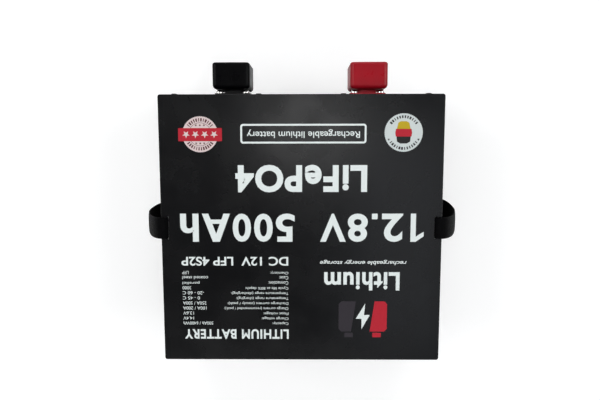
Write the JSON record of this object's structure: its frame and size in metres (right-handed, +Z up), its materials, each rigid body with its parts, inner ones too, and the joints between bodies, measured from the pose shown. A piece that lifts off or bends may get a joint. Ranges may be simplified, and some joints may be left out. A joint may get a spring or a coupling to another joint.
{
  "type": "battery pack",
  "caption": "Flat rectangular lithium battery pack in a coated steel case, with slip-off covers over its side terminals and webbing strap handles.",
  "frame": {"origin": "centre of the case's flat underside", "axes": "+Z up through the printed lid, -Y towards the two terminals, +X towards the negative terminal"},
  "size_m": [0.4257, 0.3828, 0.1952],
  "materials": {
    "case_coat": "fine black powder coat, satin",
    "black_zinc": "black zinc, satin",
    "zinc_steel": "bright zinc",
    "webbing": "woven black polypropylene webbing",
    "red_nylon": "moulded nylon",
    "black_nylon": "moulded nylon",
    "stainless": "polished stainless steel",
    "tinned_brass": "tin-plated brass",
    "red_vinyl": "soft PVC, satin",
    "black_vinyl": "soft PVC, satin",
    "cell_wrap": "blue heat-shrink film over aluminium",
    "insulation_board": "epoxy glass sheet",
    "plain_aluminium": "mill finish",
    "foam": "closed-cell foam",
    "heater_silicone": "silicone rubber",
    "copper": "bare copper",
    "circuit_board": "green solder mask",
    "chip_black": "moulded epoxy",
    "sense_film": "polyimide film",
    "print_white": "screen-printed ink",
    "print_red": "screen-printed ink",
    "print_yellow": "screen-printed ink"
  },
  "bodies": {
    "pack": {"balancer_board": "circuit_board", "balancer_chokes": "chip_black", "bms_board_left": "circuit_board", "bms_board_right": "circuit_board", "bms_chips_left": "chip_black", "bms_chips_right": "chip_black", "bms_heatsink_left": "plain_aluminium", "bms_heatsink_right": "plain_aluminium", "board_standoffs": "zinc_steel", "busbar_cover": "insulation_board", "busbar_nuts": "zinc_steel", "case_tub": "case_coat", "cell_1": "cell_wrap", "cell_2": "cell_wrap", "cell_3": "cell_wrap", "cell_4": "cell_wrap", "cell_5": "cell_wrap", "cell_6": "cell_wrap", "cell_7": "cell_wrap", "cell_8": "cell_wrap", "cell_spacers": "insulation_board", "column_spacer": "insulation_board", "end_plate_front": "plain_aluminium", "end_plate_rear": "plain_aluminium", "floor_pad": "foam", "heater_leads": "heater_silicone", "heater_mat": "heater_silicone", "lid": "case_coat", "lid_nuts": "zinc_steel", "lid_screws_front": "black_zinc", "lid_screws_left": "black_zinc", "lid_screws_rear": "black_zinc", "lid_screws_right": "black_zinc", "link_bolt": "zinc_steel", "negative_bus": "copper", "negative_link": "copper", "negative_return_left": "copper", "negative_return_right": "copper", "positive_collector": "copper", "positive_link": "copper", "rear_pad": "foam", "sense_strips": "sense_film", "series_links_left": "copper", "series_links_right": "copper", "side_pads": "foam", "stack_bands": "zinc_steel", "strap_bars": "zinc_steel", "strap_left": "webbing", "strap_right": "webbing", "temperature_sensors": "chip_black", "terminal_base_neg": "black_nylon", "terminal_base_nuts": "zinc_steel", "terminal_base_pos": "red_nylon", "terminal_base_screws": "stainless", "terminal_nuts": "stainless", "terminal_stud_neg": "tinned_brass", "terminal_stud_pos": "tinned_brass", "terminal_washers": "stainless"},
    "cover_pos": {"terminal_cover_pos": "red_vinyl"},
    "cover_neg": {"terminal_cover_neg": "black_vinyl"}
  },
  "joints": [
    {"name": "cover_pos_slide", "type": "slide", "parent": "pack", "child": "cover_pos", "axis": [0, -1, 0], "range_m": [0, 0.08]},
    {"name": "cover_neg_slide", "type": "slide", "parent": "pack", "child": "cover_neg", "axis": [0, -1, 0], "range_m": [0, 0.08]}
  ]
}
